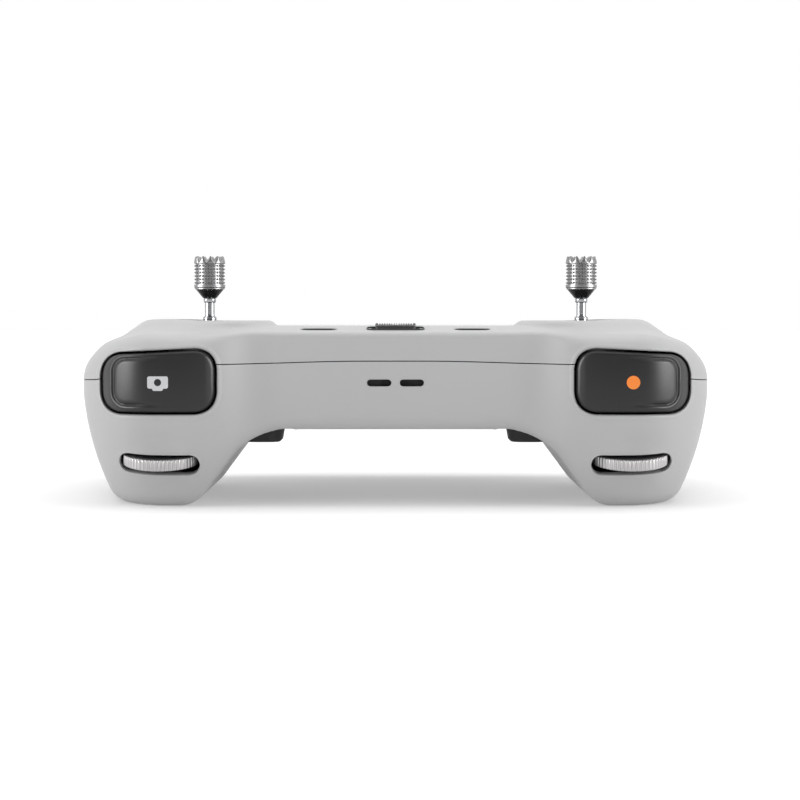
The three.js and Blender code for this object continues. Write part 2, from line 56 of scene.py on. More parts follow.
# ---- driving dimensions, as in the CAD -----------------------------------------------------------
DEPTH = 123.7
TURRET_TOP = 46.2
WALL = 2.4
DECK_Z = 44.8
BELLY_Z = 19.0
CREASE_Z = 43.2
WAIST_Z = 27.0
FACE_Z = 31.0
SPINE_Z = 27.0
SPINE_HALF = 66.0
RIM_RADIUS = 16.6
BOWL_TOP = 12.6
BOWL_FOOT = 9.9
BOWL_FOOT_Z = 40.3
DOME_RADIUS = 14.2
BUTTON_PROUD = 0.25
BUTTON_GAP = 0.5
BUTTON = {"inner": 44.5, "outer": 72.9, "bottom": 23.7, "top": 39.2, "drop": 1.5, "round": 4.9}
DIAL_TILT = math.radians(10)
DIAL_SLOT = (20.2, 5.1, 2.5)
SCOOP = {"depth": 1.5, "width": 6.5}
SEAM = 0.24


def middle(node):
    """Middle of a CAD node's box, in millimetres."""
    low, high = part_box(node)
    return (np.array(low) + np.array(high)) / 2 / MM


def corner(node, which):
    """Lowest (0) or highest (1) corner of a CAD node, in millimetres."""
    return np.array(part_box(node)[which]) / MM


JOINTS = {joint["name"]: joint for joint in frame["record"]["behaviour"]["joints"]}
STICK = np.array(JOINTS["left_stick_side"]["pos_m"]) / MM
DIAL = np.array(JOINTS["left_dial_turn"]["pos_m"]) / MM
STRIP_Y = middle("power_button")[1]
SIDES = {"right": -1, "left": 1}


# ---- small maths ---------------------------------------------------------------------------------
def ease(low, high, value):
    t = np.clip((value - low) / (high - low), 0, 1)
    return t * t * (3 - 2 * t)


def mix(a, b, t):
    return a + (b - a) * t


def round_max(a, b, radius):
    outside = np.hypot(np.maximum(a + radius, 0), np.maximum(b + radius, 0))
    return np.minimum(np.maximum(a, b), -radius) + outside


def round_min(a, b, radius):
    return -round_max(-a, -b, radius)


# ---- the body's outer form, as a field that is negative inside -----------------------------------
def half_width(y):
    """The plan is widest a little behind the middle of the turrets and narrows gently both ways."""
    back = y + 4
    return 84.58 - 0.075 * (np.hypot(back, 8) - back) - 0.001 * np.maximum(back, 0) ** 2


def front_edge(across):
    """Front line of the plan: a straight middle wall between two crowned shoulder pods."""
    pod = BUTTON_PROUD - DEPTH / 2 + (across - 57) ** 2 / 70
    return mix(-55.5, np.minimum(pod, -50), ease(28, 43, across))


def plan_field(across, y, z):
    """Sides, front and rear together; they lean in below the waist and are hollowed round each dial."""
    low = np.maximum(WAIST_Z - z, 0)
    side = across - half_width(y) + 0.08 * low + 0.0083 * low**2
    lean = 0.008 * np.maximum(FACE_Z - z, 0) ** 2 + 0.006 * np.maximum(z - FACE_Z, 0) ** 2
    off_dial = ((across - DIAL[0]) / SCOOP["width"]) ** 2 + ((np.abs(z - DIAL[2] + 1) - 5.2) / 3.2) ** 2
    front = front_edge(across) + lean + SCOOP["depth"] * np.exp(-off_dial) - y
    rear = y - DEPTH / 2 + 0.0006 * across**2 + 0.006 * np.maximum(FACE_Z - z, 0) ** 2
    return round_max(round_max(side, front, 15), rear, 21)


def deck_height(across, y):
    """The sloping strip at the front runs into the level deck, which drops towards the sides."""
    strip = CREASE_Z + 0.13 * (y + DEPTH / 2 - 6.3)
    return round_min(strip, DECK_Z, 0.6) - 5.2 * ease(60, 79, across)


def edge_radius(across, y):
    """The deck's edge is crisp along the strip and soft elsewhere."""
    plain = 4 + 5 * ease(60, 84, across)
    return mix(1, plain, np.maximum(ease(36, 50, across), ease(-45, -25, y)))


def underside_field(across, y, z):
    """The belly, with a grip on each side that reaches down to the table and ends in a rear slope."""
    belly = BELLY_Z + 0.08 * np.maximum(y - 28, 0) - z
    inner = -0.81 * (across - 43.3) - 0.587 * (z - 9.4)
    rear = 0.8 * (y - 24) - 0.6 * z
    grip = round_max(round_max(inner - 0.1, -z, 3), rear, 8)
    return round_min(belly, grip, 7)


def turret_field(across, y, z):
    """Raised round seat of a gimbal, steep towards the middle and drawn out towards the side."""
    away = np.hypot(across - STICK[0], y - STICK[1])
    slope = mix(0.25, 0.95, ease(-10, 10, across - STICK[0]))
    wall = 0.88 * (away - RIM_RADIUS - slope * (TURRET_TOP - z))
    return round_max(round_max(wall, z - TURRET_TOP, 1.2), 38 - z, 1)


def body_field(x, y, z):
    across = np.abs(x)
    plan = plan_field(across, y, z)
    lower = round_max(plan, underside_field(across, y, z), mix(4, 3.2, ease(30, 45, across)))
    whole = round_max(lower, z - deck_height(across, y), edge_radius(across, y))
    return round_min(whole, turret_field(across, y, z), mix(1, 3.2, ease(-10, 10, across - STICK[0])))


def parting_height(x):
    """Height of the seam between the shells: high in the middle, lower round the pods."""
    return 36.2 - 0.75 * ease(8, 44, np.abs(x)) - 4.2 * ease(48, 80, np.abs(x))


# ---- mesh helpers --------------------------------------------------------------------------------
def signed_volume(points, faces):
    total = 0.0
    for face in faces:
        a = points[face[0]]
        for second, third in zip(face[1:], face[2:]):
            total += np.dot(a, np.cross(points[second], points[third]))
    return total


def mesh_object(name, points, faces):
    """A closed mesh object from millimetre points; its faces are turned to point outwards."""
    points = np.asarray(points, float)
    sample = faces if len(faces) < 20000 else None
    if sample is not None and signed_volume(points, sample) < 0:
        faces = [tuple(reversed(face)) for face in faces]
    mesh = bpy.data.meshes.new(name)
    mesh.from_pydata((points * MM).tolist(), [], faces)
    mesh.validate()
    mesh.update()
    made = bpy.data.objects.new(name, mesh)
    bpy.context.collection.objects.link(made)
    return made


def tube_faces(rings, spokes, closed_rings=False):
    """Quads between rings of spokes points each; with closed_rings the last ring meets the first."""
    count = rings if closed_rings else rings - 1
    i, j = np.meshgrid(np.arange(count), np.arange(spokes), indexing="ij")
    below, above = i * spokes, ((i + 1) % rings) * spokes
    after = (j + 1) % spokes
    quads = np.stack([below + j, below + after, above + after, above + j], axis=-1)
    return quads.reshape(-1, 4).tolist()


def stacked(loops):
    """Points and faces of a closed solid from loops of equal length, capped at both ends."""
    spokes = len(loops[0])
    points = np.concatenate(loops)
    faces = tube_faces(len(loops), spokes)
    last = (len(loops) - 1) * spokes
    faces.append(list(range(spokes))[::-1])
    faces.append([last + k for k in range(spokes)])
    return points, faces


def ring_object(name, loops):
    """A closed mesh object whose last loop meets its first."""
    return mesh_object(name, np.concatenate(loops), tube_faces(len(loops), len(loops[0]), closed_rings=True))


def welded(item):
    """The object with coincident points joined into one."""
    work = bmesh.new()
    work.from_mesh(item.data)
    bmesh.ops.remove_doubles(work, verts=work.verts, dist=1e-7)
    work.to_mesh(item.data)
    work.free()
    return item


def join(objects, name):
    """One object holding every given mesh as separate closed islands."""
    points, faces, start = [], [], 0
    for item in objects:
        mesh = item.data
        flat = np.empty(len(mesh.vertices) * 3)
        mesh.vertices.foreach_get("co", flat)
        points.append(flat.reshape(-1, 3) / MM)
        faces += [[start + v for v in polygon.vertices] for polygon in mesh.polygons]
        start += len(mesh.vertices)
        bpy.data.objects.remove(item)
    mesh = bpy.data.meshes.new(name)
    mesh.from_pydata((np.concatenate(points) * MM).tolist(), [], faces)
    mesh.update()
    made = bpy.data.objects.new(name, mesh)
    bpy.context.collection.objects.link(made)
    return made


def combine(target, tool, operation):
    """Boolean of target with tool, applied to target; the tool object is used up."""
    step = target.modifiers.new("step", "BOOLEAN")
    step.operation = operation
    step.solver = "MANIFOLD"
    step.object = tool
    seen = target.evaluated_get(bpy.context.evaluated_depsgraph_get())
    result = bpy.data.meshes.new_from_object(seen)
    target.modifiers.remove(step)
    target.data = result
    bpy.data.objects.remove(tool)
    return target


def finish_piece(piece, body, look, nodes=(), angle=35):
    piece.data.materials.clear()
    piece.data.materials.append(look)
    piece.data.shade_smooth()
    piece.data.set_sharp_from_angle(angle=math.radians(angle))
    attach(piece, body)
    if nodes:
        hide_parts(*nodes)
    return piece


# ---- outlines ------------------------------------------------------------------------------------
def rounded_outline(corners, radius, per_side=16, per_corner=10):
    """Points round a polygon whose corners are rounded."""
    corners = np.asarray(corners, float)
    points = []
    for i, here in enumerate(corners):
        before, after = corners[i - 1], corners[(i + 1) % len(corners)]
        start = here + (before - here) / np.linalg.norm(before - here) * radius
        end = here + (after - here) / np.linalg.norm(after - here) * radius
        knee = mix(here, (start + end) / 2, 0.17)
        t = np.linspace(0, 1, per_corner, endpoint=False)[:, None]
        points.append((1 - t) ** 2 * start + 2 * t * (1 - t) * knee + t**2 * end)
        next_start = after + (here - after) / np.linalg.norm(here - after) * radius
        t = np.linspace(0, 1, per_side, endpoint=False)[:, None]
        points.append(mix(end, next_start, t))
    return np.concatenate(points)


def slot_outline(width, height, radius, centre=(0, 0)):
    """Function from growth to a rounded rectangle's points."""
    cx, cy = centre

    def at(grow):
        w, h = width / 2 + grow, height / 2 + grow
        corners = [(cx - w, cy - h), (cx + w, cy - h), (cx + w, cy + h), (cx - w, cy + h)]
        return rounded_outline(corners, max(min(radius + grow, w - 0.02, h - 0.02), 0.02))

    return at


def button_outline(sign):
    b = BUTTON

    def at(grow):
        corners = [
            (b["inner"] - grow, b["bottom"] - grow),
            (b["outer"] + grow, b["bottom"] - grow),
            (b["outer"] + grow, b["top"] - b["drop"] + grow),
            (b["inner"] - grow, b["top"] + grow),
        ]
        corners = [(sign * x, z) for x, z in corners]
        return rounded_outline(corners, max(b["round"] + grow, 0.05), per_side=26, per_corner=14)

    return at


class Facing:
    """A way of looking at the body: outlines lie across it and depth runs into the body."""

    def __init__(self, origin, across, up, into):
        self.origin, self.across = np.array(origin, float), np.array(across, float)
        self.up, self.into = np.array(up, float), np.array(into, float)

    def point(self, flat, depth):
        flat = np.asarray(flat, float)
        depth = np.asarray(depth, float) * np.ones(len(flat))
        return self.origin + flat[:, :1] * self.across + flat[:, 1:] * self.up + depth[:, None] * self.into

    def depth(self, flat, level=0.0, limit=34.0):
        """Depth at which a line going in first meets the body's surface."""
        stride = 0.4
        steps = np.arange(0, limit, stride)
        found = np.full(len(flat), limit)
        for step in steps[::-1]:
            inside = body_field(*self.point(flat, step).T) < level
            found = np.where(inside, step, found)
        near, far = found - stride, found.copy()
        for _ in range(24):
            half = (near + far) / 2
            inside = body_field(*self.point(flat, half).T) < level
            far = np.where(inside, half, far)
            near = np.where(inside, near, half)
        return far


# Planes that clear the body, which depths are counted from.
FRONT_Y, REAR_Y, TOP_Z, UNDER_Z = -66, 66, 50, -3
FRONT = Facing((0, FRONT_Y, 0), (1, 0, 0), (0, 0, 1), (0, 1, 0))
REAR = Facing((0, REAR_Y, 0), (1, 0, 0), (0, 0, 1), (0, -1, 0))
TOP = Facing((0, 0, TOP_Z), (1, 0, 0), (0, 1, 0), (0, 0, -1))
UNDER = Facing((0, 0, UNDER_Z), (1, 0, 0), (0, 1, 0), (0, 0, 1))


def top_loop(outline, z):
    """An outline laid level at height z, for pieces seen from above."""
    return TOP.point(outline, TOP_Z - z)


def under_loop(outline, z):
    """An outline laid level at height z, for pieces seen from below."""
    return UNDER.point(outline, z - UNDER_Z)


def rolled_edge(radius, count):
    """Inset and sink of each step of an edge that rolls over by a quarter turn."""
    steps = np.linspace(0, math.pi / 2, count)
    return [(radius * (1 - math.cos(t)), radius * (1 - math.sin(t))) for t in steps]


def full_turn(count):
    return np.linspace(0, 2 * math.pi, count, endpoint=False)


def circle_points(radius, turn, z):
    """A level circle; radius and z may change with the angle."""
    return np.stack([radius * np.cos(turn), radius * np.sin(turn), z + np.zeros_like(turn)], 1)


def dial_facing(sign):
    into = np.array([0, math.cos(DIAL_TILT), math.sin(DIAL_TILT)])
    up = np.array([0, -math.sin(DIAL_TILT), math.cos(DIAL_TILT)])
    centre = np.array([sign * DIAL[0], DIAL[1], DIAL[2]])
    return Facing(centre - 16 * into, (1, 0, 0), up, into)


def prism(name, facing, outline, start, end):
    points, faces = stacked([facing.point(outline, start), facing.point(outline, end)])
    return mesh_object(name, points, faces)


def lip_ring(name, facing, outline_at, radius, deep, bead=0.0):
    """Rounded edge of an opening: a closed ring whose visible side rolls from the skin into the hole."""
    outer, inner = outline_at(radius), outline_at(0)
    skin_outer, skin_inner = facing.depth(outer), facing.depth(inner)
    start, knee = facing.point(outer, skin_outer), facing.point(inner, skin_inner - bead)
    end = facing.point(inner, skin_inner + radius)
    section = [(1 - t) ** 2 * start + 2 * t * (1 - t) * knee + t**2 * end for t in np.linspace(0, 1, 8)]
    section.append(facing.point(inner, skin_inner + deep))
    section.append(facing.point(outer, skin_outer + deep))
    return ring_object(name, section)


# ---- skin of the body ----------------------------------------------------------------------------
def ray_fan(long_side, short_side):
    """Directions round a rectangle about the spine, closer together at its corners."""
    half_y, half_z = DEPTH / 2, 16.8
    sweep = np.cos(np.linspace(0, math.pi, long_side, endpoint=False))
    climb = np.linspace(1, -1, short_side, endpoint=False)
    top = [(half_y * s, half_z) for s in sweep]
    front = [(-half_y, half_z * s) for s in climb]
    bottom = [(-half_y * s, -half_z) for s in sweep]
    rear = [(half_y, -half_z * s) for s in climb]
    fan = np.array(top + front + bottom + rear)
    return fan / np.linalg.norm(fan, axis=1)[:, None]


def skin(name, level, rows, caps, long_side, short_side):
    fan = ray_fan(long_side, short_side)
    tilts = (np.arange(1, caps) / caps) ** 1.5 * math.pi / 2
    tilt = np.concatenate([-tilts[::-1], np.zeros(rows + 1), tilts])
    spine = np.concatenate([np.full(caps - 1, -SPINE_HALF), np.linspace(-SPINE_HALF, SPINE_HALF, rows + 1),
                            np.full(caps - 1, SPINE_HALF)])
    ring_count, spokes = len(tilt), len(fan)
    start = np.zeros((ring_count, spokes, 3))
    start[..., 0] = spine[:, None]
    start[..., 2] = SPINE_Z
    ray = np.empty_like(start)
    ray[..., 0] = np.sin(tilt)[:, None]
    ray[..., 1:] = np.cos(tilt)[:, None, None] * fan
    poles = np.array([[-1.0, 0, 0], [1.0, 0, 0]])
    start = np.concatenate([start.reshape(-1, 3), poles * SPINE_HALF + [0, 0, SPINE_Z]])
    ray = np.concatenate([ray.reshape(-1, 3), poles])
    near, far = np.zeros(len(ray)), np.full(len(ray), 120.0)
    for _ in range(26):
        reach = (near + far) / 2
        inside = body_field(*(start + reach[:, None] * ray).T) < level
        near = np.where(inside, reach, near)
        far = np.where(inside, far, reach)
    points = start + near[:, None] * ray
    faces = tube_faces(ring_count, spokes)
    low_pole, high_pole = len(points) - 2, len(points) - 1
    last = (ring_count - 1) * spokes
    faces += [[low_pole, (k + 1) % spokes, k] for k in range(spokes)]
    faces += [[high_pole, last + k, last + (k + 1) % spokes] for k in range(spokes)]
    if signed_volume(points, faces[:: max(1, len(faces) // 4000)]) < 0:
        faces = [face[::-1] for face in faces]
    return mesh_object(name, points, faces)


def half_space(name, lift, limit):
    """Everything above the parting surface, or everything below it."""
    x = np.linspace(-92, 92, 150)
    edge = np.stack([x, parting_height(x) + lift], axis=1)
    outline = np.concatenate([edge, [[92, limit], [-92, limit]]])
    return prism(name, Facing((0, -70, 0), (1, 0, 0), (0, 0, 1), (0, 1, 0)), outline, 0, 140)


# ---- materials -----------------------------------------------------------------------------------
def material(name, color, roughness, metallic=0.0, grain=5000.0, bump=0.15, spread=0.05, blotch=28.0,
             rough_spread=0.08, coat=0.0, subsurface=0.0, specular=0.5):
    """A moulded, painted or machined surface: fine grain, slow colour drift and uneven gloss."""
    made = bpy.data.materials.new(name)
    made.use_nodes = True
    nodes, links = made.node_tree.nodes, made.node_tree.links
    shader = nodes["Principled BSDF"]
    shader.inputs["Metallic"].default_value = metallic
    shader.inputs["Coat Weight"].default_value = coat
    shader.inputs["Specular IOR Level"].default_value = specular
    shader.inputs["Subsurface Weight"].default_value = subsurface
    where = nodes.new("ShaderNodeTexCoord")
    drift = nodes.new("ShaderNodeTexNoise")
    drift.inputs["Scale"].default_value = blotch
    drift.inputs["Detail"].default_value = 4
    links.new(where.outputs["Object"], drift.inputs["Vector"])
    fine = nodes.new("ShaderNodeTexNoise")
    fine.inputs["Scale"].default_value = grain
    fine.inputs["Detail"].default_value = 2
    links.new(where.outputs["Object"], fine.inputs["Vector"])
    ramp = nodes.new("ShaderNodeValToRGB")
    dark = [channel * (1 - spread) for channel in color]
    light = [min(1.0, channel * (1 + spread)) for channel in color]
    ramp.color_ramp.elements[0].position = 0.3
    ramp.color_ramp.elements[0].color = (*dark, 1)
    ramp.color_ramp.elements[1].position = 0.7
    ramp.color_ramp.elements[1].color = (*light, 1)
    links.new(drift.outputs["Fac"], ramp.inputs["Fac"])
    links.new(ramp.outputs["Color"], shader.inputs["Base Color"])
    gloss = nodes.new("ShaderNodeMapRange")
    gloss.inputs["To Min"].default_value = max(0.02, roughness - rough_spread)
    gloss.inputs["To Max"].default_value = min(1.0, roughness + rough_spread)
    links.new(fine.outputs["Fac"], gloss.inputs["Value"])
    links.new(gloss.outputs["Result"], shader.inputs["Roughness"])
    rise = nodes.new("ShaderNodeBump")
    rise.inputs["Strength"].default_value = bump
    rise.inputs["Distance"].default_value = 0.00006
    links.new(fine.outputs["Fac"], rise.inputs["Height"])
    links.new(rise.outputs["Normal"], shader.inputs["Normal"])
    return made


case_grey = material("case_grey", (0.44, 0.44, 0.444), 0.5, grain=4200, bump=0.12, spread=0.012,
                     specular=0.35)
button_black = material("button_black", (0.012, 0.012, 0.0135), 0.36, grain=5200, bump=0.1,
                        spread=0.05, specular=0.42)
dark_plastic = material("dark_plastic", (0.03, 0.03, 0.033), 0.45)
# Near-black gloss for the stick's cone: a painted reflection, standing in for the dark reflection of polished
# metal rather than the metal's own colour.
painted_reflection_black = material("painted_reflection_black", (0.012, 0.012, 0.013), 0.16, bump=0.02, spread=0.1)
glass_black = material("glass_black", (0.004, 0.004, 0.005), 0.06, bump=0.0, rough_spread=0.02, coat=0.6)
silver = material("silver", (0.27, 0.27, 0.275), 0.34, metallic=1.0, grain=2600, bump=0.1,
                  spread=0.06, rough_spread=0.1)
dial_silver = material("dial_silver", (0.5, 0.49, 0.49), 0.36, metallic=0.9, grain=2600, bump=0.1,
                       spread=0.06)
polished = material("polished", (0.34, 0.345, 0.355), 0.16, metallic=1.0, grain=1800, bump=0.03,
                    rough_spread=0.06)
cast_metal = material("cast_metal", (0.5, 0.51, 0.52), 0.5, metallic=0.9, grain=900, bump=0.3,
                      spread=0.08)
rubber = material("rubber", (0.022, 0.022, 0.024), 0.72, grain=3500, bump=0.3, spread=0.12)
solder_mask = material("solder_mask", (0.02, 0.13, 0.06), 0.35, grain=900, bump=0.2, spread=0.25,
                       blotch=160)
cell_wrap = material("cell_wrap", (0.05, 0.1, 0.22), 0.4, grain=700, bump=0.2, spread=0.1)
milky = material("milky", (0.8, 0.82, 0.8), 0.3, bump=0.02, spread=0.02, subsurface=0.2)
copper = material("copper", (0.72, 0.42, 0.22), 0.3, metallic=1.0, grain=1500, bump=0.1)
print_grey = material("print_grey", (0.55, 0.56, 0.57), 0.5, bump=0.05, spread=0.02)
print_orange = material("print_orange", (0.9, 0.24, 0.03), 0.35, bump=0.05, spread=0.04)


# ---- case ----------------------------------------------------------------------------------------
low_pad, high_pad = corner("left_custom_key", 0), corner("left_custom_key", 1)
PAD_CENTRE = (low_pad + high_pad) / 2
PAD_SIZE = high_pad - low_pad
KEY_SIZE = corner("power_button", 1) - corner("power_button", 0)
KEY_X = abs(middle("power_button")[0])
SCREEN_LOW, SCREEN_HIGH = corner("screen_glass", 0), corner("screen_glass", 1)
SCREEN_SIZE = SCREEN_HIGH - SCREEN_LOW
SCREEN_CENTRE = (SCREEN_LOW + SCREEN_HIGH) / 2
STORE_SIZE = corner("storage_insert", 1) - corner("storage_insert", 0)
STORE_CENTRE = middle("storage_insert")
USB_CENTRE = middle("usb_port")
CARD_CENTRE = middle("card_socket")
LAMP_CENTRE = middle("light_pipe")

# An opening is (facing, outline, lip radius, depth of its lip ring, reach of its cut, bead of its lip).
KEY_GAP, PAD_GAP = 0.3, 0.4
SOUND_SLOT = (6, 1.7, 0.84)
SOUND_SLOT_X, SOUND_SLOT_Z = 4.05, 30.8
SCREW_HOLE = (5.6, 5.6, 2.79)


def widened(outline_at, gap):
    """The same outline with a gap all round it."""
    return lambda grow: outline_at(grow + gap)


def side_openings(sign):
    """The openings on one side, by name."""
    key_place = (sign * KEY_X, STRIP_Y)
    pad_place = (sign * PAD_CENTRE[0], PAD_CENTRE[1])
    key_hole = slot_outline(KEY_SIZE[0] + 2 * KEY_GAP, KEY_SIZE[1] + 2 * KEY_GAP, 1.6, key_place)
    pad_hole = slot_outline(PAD_SIZE[0] + 2 * PAD_GAP, PAD_SIZE[1] + 2 * PAD_GAP, 4, pad_place)
    sound_slot = slot_outline(*SOUND_SLOT, (sign * SOUND_SLOT_X, SOUND_SLOT_Z))
    return {
        "button": (FRONT, widened(button_outline(sign), BUTTON_GAP), 1.3, 3.4, 22.0, 0.55),
        "dial": (dial_facing(sign), slot_outline(*DIAL_SLOT, (0, -0.25)), 0.8, 3.2, 22.0, 0.55),
        "sound": (FRONT, sound_slot, 0.3, 2.2, 16.0, 0.55),
        "key": (TOP, key_hole, 0.3, 2.2, 12.0, 0),
        "pad": (UNDER, pad_hole, 0.5, 5.0, 30.0, 0),
    }


openings = {}
for side, sign in SIDES.items():
    for kind, opening in side_openings(sign).items():
        openings[f"{side}_{kind}"] = opening
store_hole = slot_outline(STORE_SIZE[0] + 0.6, STORE_SIZE[1] + 0.6, 3, (0, STORE_CENTRE[1]))
openings["slider"] = (TOP, slot_outline(13.8, 4.2, 1.8, (0, STRIP_Y)), 0.3, 2.2, 12.0, 0)
openings["usb"] = (REAR, slot_outline(9.5, 3.9, 1.9, (0, USB_CENTRE[2])), 0.4, 2.4, 10.0, 0)
openings["card"] = (REAR, slot_outline(12, 1.8, 0.6, (CARD_CENTRE[0], CARD_CENTRE[2])), 0.3, 2.4, 10.0, 0)
openings["store"] = (UNDER, store_hole, 0.4, 2.2, 28.0, 0)
for node in frame["nodes"]:
    if "_screw_" in node:
        openings[node] = (UNDER, slot_outline(*SCREW_HOLE, middle(node)[:2]), 0.3, 4.4, 28.0, 0)

body = skin("body_skin", 0.0, 220, 46, 120, 46)
body = combine(body, skin("body_inside", -WALL, 60, 14, 34, 14), "DIFFERENCE")

cutters, rings = [], {}
for name, (facing, outline_at, radius, deep, reach, bead) in openings.items():
    cutters.append(prism("cutter", facing, outline_at(radius + 0.01), 0, reach))
    rings[name] = lip_ring("lip", facing, outline_at, radius, deep, bead * radius)
# The screen sits on a ledge inside a recess.
screen_hole = slot_outline(SCREEN_SIZE[0] + 0.5, SCREEN_SIZE[1] + 0.5, 9, SCREEN_CENTRE[:2])
cutters.append(prism("cutter", TOP, screen_hole(0), 0, TOP_Z - SCREEN_LOW[2] + 0.3))
screen_well = slot_outline(SCREEN_SIZE[0] - 6.4, SCREEN_SIZE[1] - 6.4, 6, SCREEN_CENTRE[:2])
well = prism("well", TOP, screen_well(0), 2, 12)
for x in (-6, -2, 2, 6):
    lamp_window = slot_outline(3, 1.8, 0.3, (x, LAMP_CENTRE[1]))
    cutters.append(prism("cutter", TOP, lamp_window(0), 0, 10))
for side, sign in SIDES.items():
    mouth = circle_points(BOWL_TOP + 0.8, full_turn(128), 0)[:, :2] + [sign * STICK[0], STICK[1]]
    cutters.append(prism("cutter", TOP, mouth, 0, 13))
body = combine(body, join(cutters, "cutters"), "DIFFERENCE")
body = combine(body, well, "DIFFERENCE")


def turned(name, profile, segments=64, centre=(0, 0, 0), closed=True):
    """A turned piece about Z from (radius, height) points; a closed profile returns to its first point."""
    turn = full_turn(segments)
    loops = [circle_points(r, turn, z) + centre for r, z in profile]
    if closed:
        return ring_object(name, loops)
    return mesh_object(name, *stacked(loops))


def bend(start, knee, end, count=8):
    start, knee, end = (np.array(p, float) for p in (start, knee, end))
    return [(1 - t) ** 2 * start + 2 * t * (1 - t) * knee + t**2 * end for t in np.linspace(0, 1, count)]


bowl_slope = (BOWL_TOP - BOWL_FOOT) / (TURRET_TOP - BOWL_FOOT_Z)
bowls = []
for side, sign in SIDES.items():
    lip = bend((BOWL_TOP + 0.79, TURRET_TOP), (BOWL_TOP, TURRET_TOP), (BOWL_TOP - bowl_slope, TURRET_TOP - 1))
    foot_start, foot_end = (BOWL_FOOT + 0.1, BOWL_FOOT_Z + 0.5), (BOWL_FOOT + 0.6, BOWL_FOOT_Z)
    foot = bend(foot_start, (BOWL_FOOT, BOWL_FOOT_Z), foot_end, 4)
    profile = lip + foot + [(BOWL_FOOT + 1.3, BOWL_FOOT_Z), (BOWL_TOP + 0.79, TURRET_TOP - 2.2)]
    bowls.append(turned("bowl", profile, 128, (sign * STICK[0], STICK[1], 0)))


SPLIT_LIPS = ["right_button", "left_button"]
UPPER_LIPS = ["right_key", "left_key", "slider"]
button_lips = join([rings[name] for name in SPLIT_LIPS], "button_lips")
key_rings = [rings[name] for name in UPPER_LIPS]
low_rings = [ring for name, ring in rings.items() if name not in SPLIT_LIPS + UPPER_LIPS]


def copied(item, name):
    twin = bpy.data.objects.new(name, item.data.copy())
    bpy.context.collection.objects.link(twin)
    return twin


body_low, lips_low = copied(body, "body_low"), copied(button_lips, "lips_low")
upper = combine(body, half_space("upper", SEAM / 2, 80), "INTERSECT")
lower = combine(body_low, half_space("lower", -SEAM / 2, -20), "INTERSECT")
upper_lips = combine(button_lips, half_space("upper", SEAM / 2, 80), "INTERSECT")
lower_lips = combine(lips_low, half_space("lower", -SEAM / 2, -20), "INTERSECT")
top_skin = join([upper, upper_lips] + key_rings + bowls, "top_shell_skin")
bottom_skin = join([lower, lower_lips] + low_rings, "bottom_shell_skin")
finish_piece(top_skin, "housing", case_grey, ["top_shell"], 32)
finish_piece(bottom_skin, "housing", case_grey, ["bottom_shell"], 32)


# ---- shoulder buttons ----------------------------------------------------------------------------
def groove_line(across, z):
    """Signed distance to the line that sets off the rim of a shoulder button."""
    upright = round_max(z - (BUTTON["top"] - 2.3), BUTTON["bottom"] + 1.9 - z, 0.5)
    return round_max(across - (BUTTON["outer"] - 3.3), upright, 3.2)


def button_relief(flat):
    across, z = np.abs(flat[:, 0]), flat[:, 1]
    beyond = groove_line(across, z)
    fade = ease(57, 66, across)
    groove = 0.62 * np.exp(-(beyond / 0.42) ** 2)
    rim = 0.75 * ease(0.7, 3.1, beyond)
    bevel = 0.25 * ease(BUTTON["inner"] + 2.4, BUTTON["inner"], across)
    return np.maximum(fade, 0.25 * (beyond > 0.7)) * rim + fade * groove + bevel


def conforming(facing, flat, level, relief, sink):
    return facing.point(flat, facing.depth(flat, level) + relief(flat) + sink)


for side, sign in SIDES.items():
    name = {"right": "shutter", "left": "record"}[side]
    whole_outline = button_outline(sign)

    def outline_at(grow):
        return np.roll(whole_outline(grow), -147, axis=0)

    edge = 0.85
    loops = [conforming(FRONT, outline_at(0), BUTTON_PROUD, button_relief, 2.1)]
    for inset, sink in rolled_edge(edge, 7):
        loops.append(conforming(FRONT, outline_at(-inset), BUTTON_PROUD, button_relief, sink))
    inner_loop = outline_at(-edge)
    end_a, end_b = sorted((sign * (BUTTON["inner"] + 7), sign * (BUTTON["outer"] - 7)))
    level = (BUTTON["bottom"] + BUTTON["top"]) / 2
    opposite = inner_loop[-np.arange(len(inner_loop)) % len(inner_loop)]
    spine_x = np.clip((inner_loop[:, 0] + opposite[:, 0]) / 2, end_a, end_b)
    spine = np.stack([spine_x, np.full(len(inner_loop), level)], 1)
    for share in np.linspace(0, 1, 41)[1:]:
        loops.append(conforming(FRONT, mix(inner_loop, spine, share), BUTTON_PROUD, button_relief, 0))
    points, faces = stacked(loops)
    face = welded(mesh_object(f"{name}_face", points, faces[:-1]))
    plunger = slot_outline(6, 5, 0.6, (sign * 57, 31.5))
    post = prism("post", FRONT, plunger(0), 6.8, 13)
    cap = join([face, post], f"{name}_cap")
    finish_piece(cap, name, button_black, [f"{name}_button"], 40)


def icon_ring(name, centre, reach_at, hole, body, look):
    """A printed mark on a shoulder button, between an outline and a round hole."""
    turn = full_turn(128)
    ways = np.stack([np.cos(turn), np.sin(turn)], 1)
    loops = []
    far, near = centre + ways * reach_at(turn)[:, None], centre + ways * hole
    for flat, sink in ((far, 0.06), (far, -0.02), (mix(far, near, 0.5), -0.02), (near, -0.02), (near, 0.06)):
        loops.append(conforming(FRONT, flat, BUTTON_PROUD, button_relief, sink))
    return finish_piece(ring_object(name, loops), body, look, angle=50)


CAMERA_HALF = (2.55, 1.5)
HUMP_HALF, HUMP_TOP = 1.4, 2.05


